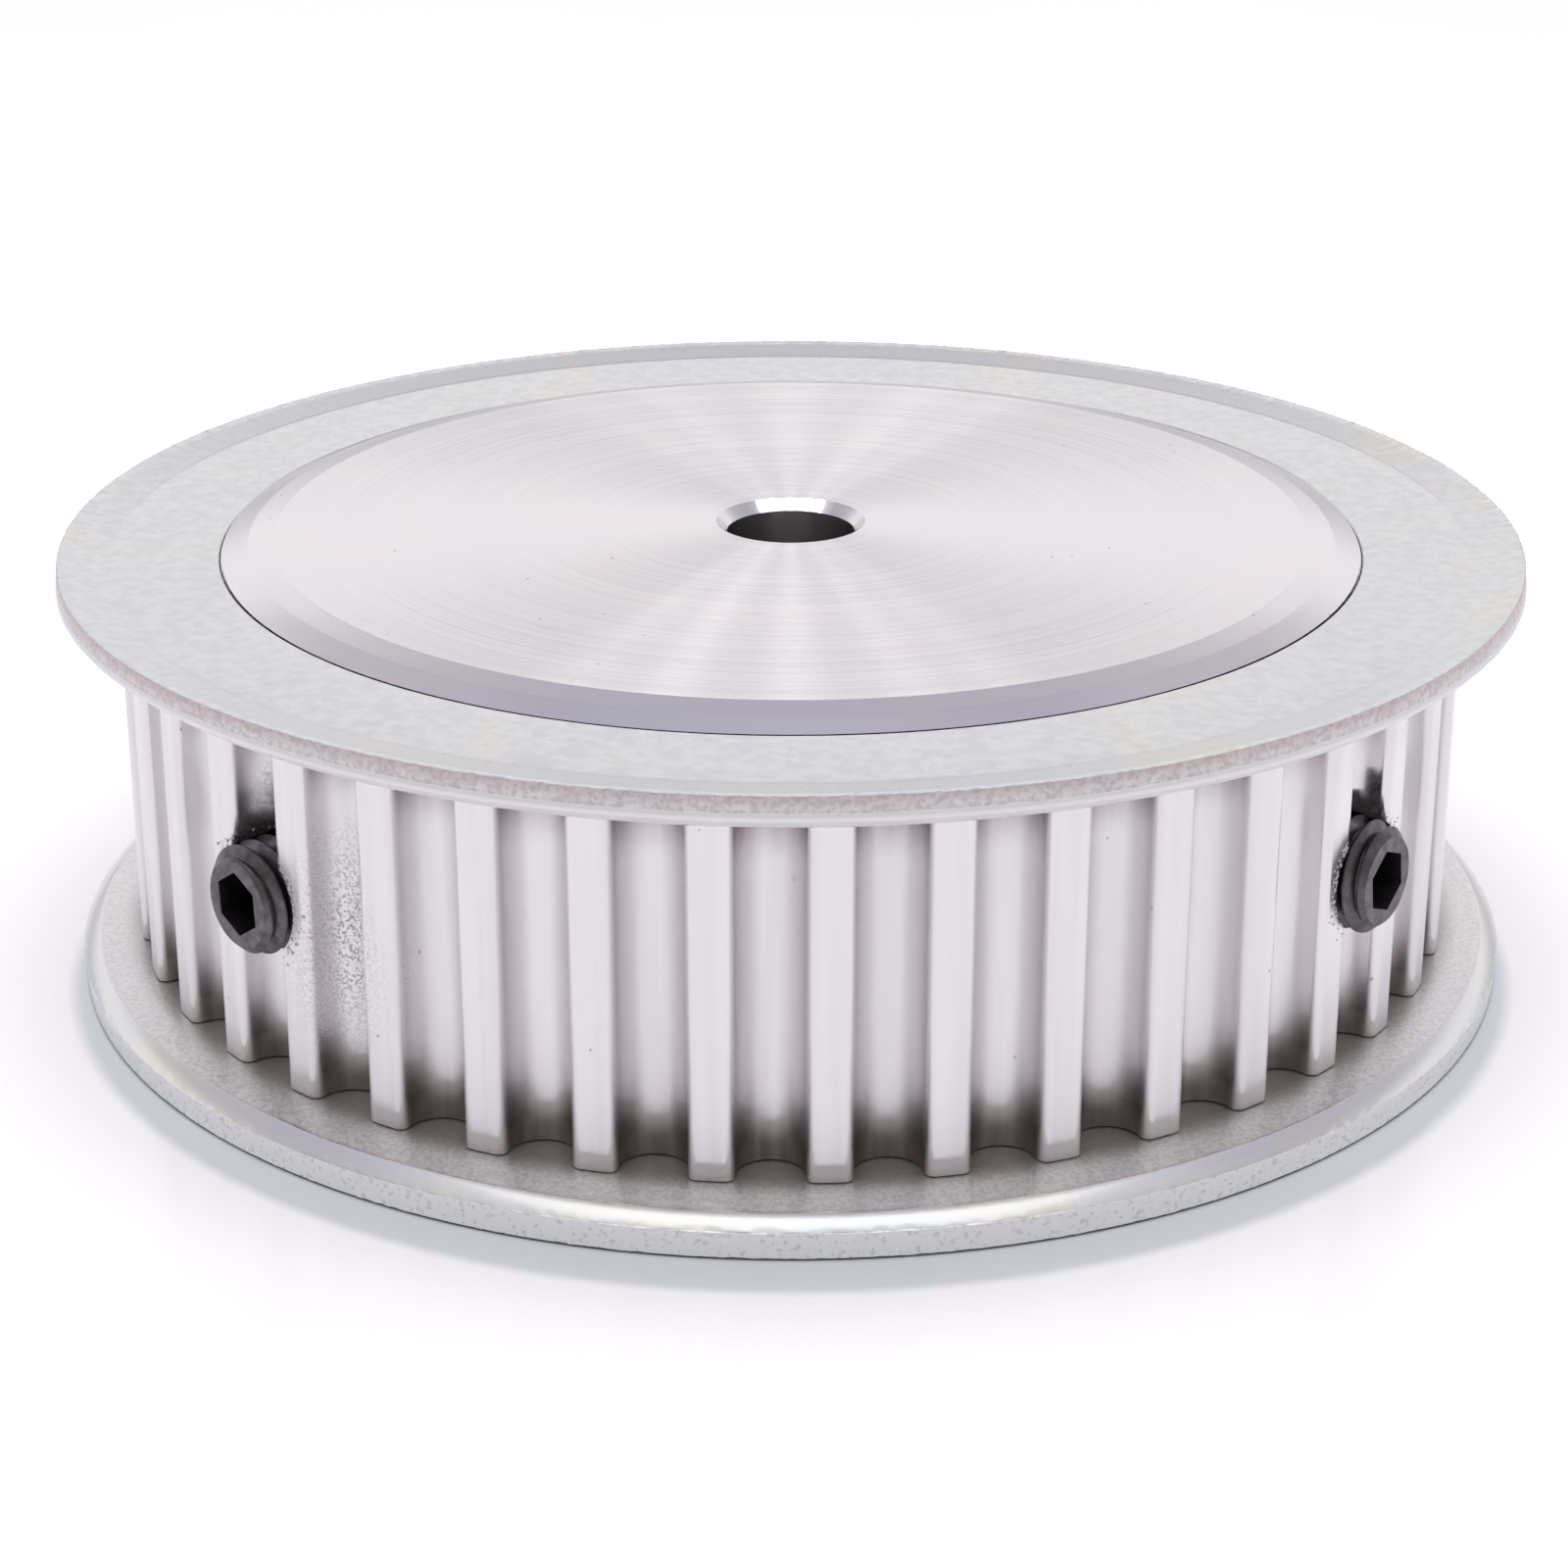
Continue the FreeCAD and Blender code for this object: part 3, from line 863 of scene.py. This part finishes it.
def make_crumbs(name, direction, count, seed):
    """All the crumbs round one hole, as one piece."""
    draw = random.Random(seed)
    inward = Vector((-direction[0], -direction[1], 0))
    sideways = Vector((-direction[1], direction[0], 0))
    inverse = body_node.matrix_world.inverted()
    crumbs = []
    for _ in range(count):
        turn = draw.uniform(0, 2 * math.pi)
        away = draw.triangular(*CRUMB_REACH, CRUMB_REACH[0])
        start = sideways * away * math.cos(turn) - inward * FLANGE_RADIUS
        start.z = SCREW_HEIGHT + away * math.sin(turn)
        found, spot, _, _ = body_node.ray_cast(inverse @ (start * MM), inverse.to_3x3() @ inward)
        if found:
            crumbs.append(make_crumb(body_node.matrix_world @ spot, draw))
    bpy.ops.object.select_all(action="DESELECT")
    for crumb in crumbs:
        crumb.select_set(True)
    piece = bpy.context.view_layer.objects.active = crumbs[0]
    bpy.ops.object.join()
    piece.name = piece.data.name = name
    settle(piece)
    piece.data.materials.append(aluminium)
    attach(piece, "pulley")
    print(name, len(crumbs), "crumbs")


bpy.ops.object.select_all(action="DESELECT")
make_crumbs("left_hole_crumbs", HOLES[0], 90, 3)
make_crumbs("right_hole_crumbs", HOLES[1], 45, 8)

# %% [markdown]
# ## Set screws
# Each set screw is a headless M5 screw: a 0.8 mm pitch thread, a bevelled end with a hex socket
# and a cup point. A cylinder with a bump pattern would keep a straight outline, so the thread
# is real. One turn of it is drawn as a section, and the Screw modifier winds it up. A bevelled
# bar then trims the ends, and a hex bar and a cone are cut out.

# %% Threaded rod
PITCH = 0.8
CREST = 2.46
ROOT = 2.0
SCREW_LENGTH = 10.0
TURNS = 16
TURN_STEPS = 72
RUN_OUT = 1.2            # spare thread below the point, trimmed off
THREAD_GAP = 0.0005      # points nearer than this are one, in mm


def threaded_rod(name, first_crest):
    """A thread with flat ends, along Z, its outer end at zero, its winding moved along."""
    one_turn = [(ROOT, 0), (ROOT, 0.06), (CREST - 0.03, 0.325), (CREST, 0.36), (CREST, 0.43)]
    one_turn += [(CREST - 0.03, 0.465), (ROOT, 0.73), (ROOT, PITCH)]
    low = -SCREW_LENGTH - RUN_OUT + first_crest
    piece = draw_section(name, [(r, low + z) for r, z in one_turn], closed=False)
    winding = piece.modifiers.new("winding", "SCREW")
    winding.angle = 2 * math.pi
    winding.screw_offset = PITCH * MM
    winding.iterations = TURNS
    winding.steps = winding.render_steps = TURN_STEPS
    winding.use_merge_vertices = True
    winding.merge_threshold = THREAD_GAP * MM
    apply_all(piece)
    bpy.ops.object.mode_set(mode="EDIT")
    bpy.ops.mesh.select_all(action="SELECT")
    bpy.ops.mesh.remove_doubles(threshold=THREAD_GAP * MM)
    for height, side in ((0.0, 1), (-SCREW_LENGTH, -1)):
        bpy.ops.mesh.select_all(action="SELECT")
        bpy.ops.mesh.bisect(
            plane_co=(0, 0, height * MM), plane_no=(0, 0, side), threshold=1e-8,
            use_fill=True, clear_outer=True
        )
    bpy.ops.mesh.select_all(action="SELECT")
    bpy.ops.mesh.normals_make_consistent(inside=False)
    bpy.ops.object.mode_set(mode="OBJECT")
    return piece


print("thread:", TURNS, "turns of", PITCH, "mm")


# %% Cutting tools
def cutter(kind, at, turn=0.0, **sizes):
    """A simple solid that only trims another piece."""
    bpy.ops.object.select_all(action="DESELECT")
    getattr(bpy.ops.mesh, kind)(location=Vector(at) * MM, rotation=(0, 0, turn), **sizes)
    solid = bpy.context.object
    settle(solid)
    return solid


def trim(piece, solid, how):
    """Cut a piece by a solid, then throw the solid away."""
    modifier = piece.modifiers.new(how, "BOOLEAN")
    modifier.operation = how
    modifier.solver = "EXACT"
    modifier.object = solid
    apply_all(piece)
    bpy.data.objects.remove(solid)


def bevel_end(solid, height, width):
    """Bevel the rim of a cylinder at one height."""
    only(solid)
    bpy.ops.object.mode_set(mode="EDIT")
    bpy.ops.mesh.select_all(action="DESELECT")
    bpy.ops.object.mode_set(mode="OBJECT")
    for edge in solid.data.edges:
        ends = [solid.data.vertices[v].co.z / MM for v in edge.vertices]
        edge.select = all(abs(z - height) < 0.01 for z in ends)
    bpy.ops.object.mode_set(mode="EDIT")
    bpy.ops.mesh.select_mode(type="EDGE")
    bpy.ops.mesh.bevel(offset=width * MM, segments=1)
    bpy.ops.mesh.select_mode(type="VERT")
    bpy.ops.object.mode_set(mode="OBJECT")


print("cutting tools ready")

# %% One set screw
OUTER_BEVEL = 0.62
POINT_BEVEL = 1.3
SOCKET_ACROSS = 2.5       # across the flats
SOCKET_DEPTH = 2.5
SOCKET_SPARE = 1.0        # how far the hex cutter stands out of the screw
CUP_CONE = {"radius1": 1.4 * MM, "radius2": 0.3 * MM, "depth": 1.0 * MM}
THREAD_ANGLE = math.radians(28)    # a sharper fold than this stays an edge


def make_screw(name, socket_turn, first_crest):
    """A finished screw along Z with its outer end at zero."""
    piece = threaded_rod(name, first_crest)
    middle = (0, 0, -SCREW_LENGTH / 2)
    bar = cutter("primitive_cylinder_add", middle, vertices=96, radius=(CREST + 0.1) * MM,
                 depth=SCREW_LENGTH * MM)
    bevel_end(bar, 0.0, OUTER_BEVEL)
    bevel_end(bar, -SCREW_LENGTH, POINT_BEVEL)
    trim(piece, bar, "INTERSECT")
    socket_middle = (0, 0, (SOCKET_SPARE - SOCKET_DEPTH) / 2)
    hexagon = cutter("primitive_cylinder_add", socket_middle, socket_turn, vertices=6,
                     radius=SOCKET_ACROSS / math.sqrt(3) * MM,
                     depth=(SOCKET_SPARE + SOCKET_DEPTH) * MM)
    trim(piece, hexagon, "DIFFERENCE")
    cup = cutter("primitive_cone_add", (0, 0, -SCREW_LENGTH + 0.15), vertices=48, **CUP_CONE)
    trim(piece, cup, "DIFFERENCE")
    print(name, len(piece.data.polygons), "faces")
    return piece


def seat_screw(piece, direction, stand, height):
    """Turn a screw made along Z to point along its hole, with its end at its stand-off."""
    outward = Vector((direction[0], direction[1], 0))
    up = Vector((0, 0, 1))
    sideways = up.cross(outward)
    turn = Matrix((sideways, up, outward)).transposed().to_4x4()
    piece.matrix_world = Matrix.Translation(outward * stand * MM + up * height * MM) @ turn
    bpy.context.view_layer.update()
    settle(piece)
    bpy.ops.object.shade_smooth_by_angle(angle=THREAD_ANGLE)
    piece.data.materials.append(oxide)


print("one screw:", SCREW_LENGTH, "mm long, socket", SOCKET_ACROSS, "mm across its flats")

# %% Both set screws
SCREW_STAND = 32.2                 # outer end of each screw from the axis
# side, direction, turn of the socket in degrees, and how far the winding is moved along
SIDES = (("left", HOLES[0], 3, PITCH / 2), ("right", HOLES[1], 8, 0.0))

for side, direction, socket_turn, first_crest in SIDES:
    screw = make_screw(f"{side}_threaded_screw", math.radians(socket_turn), first_crest)
    seat_screw(screw, direction, SCREW_STAND, SCREW_HEIGHT)
    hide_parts(f"{side}_set_screw")
    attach(screw, f"{side}_screw")
    lit_by_panel.objects.link(screw)
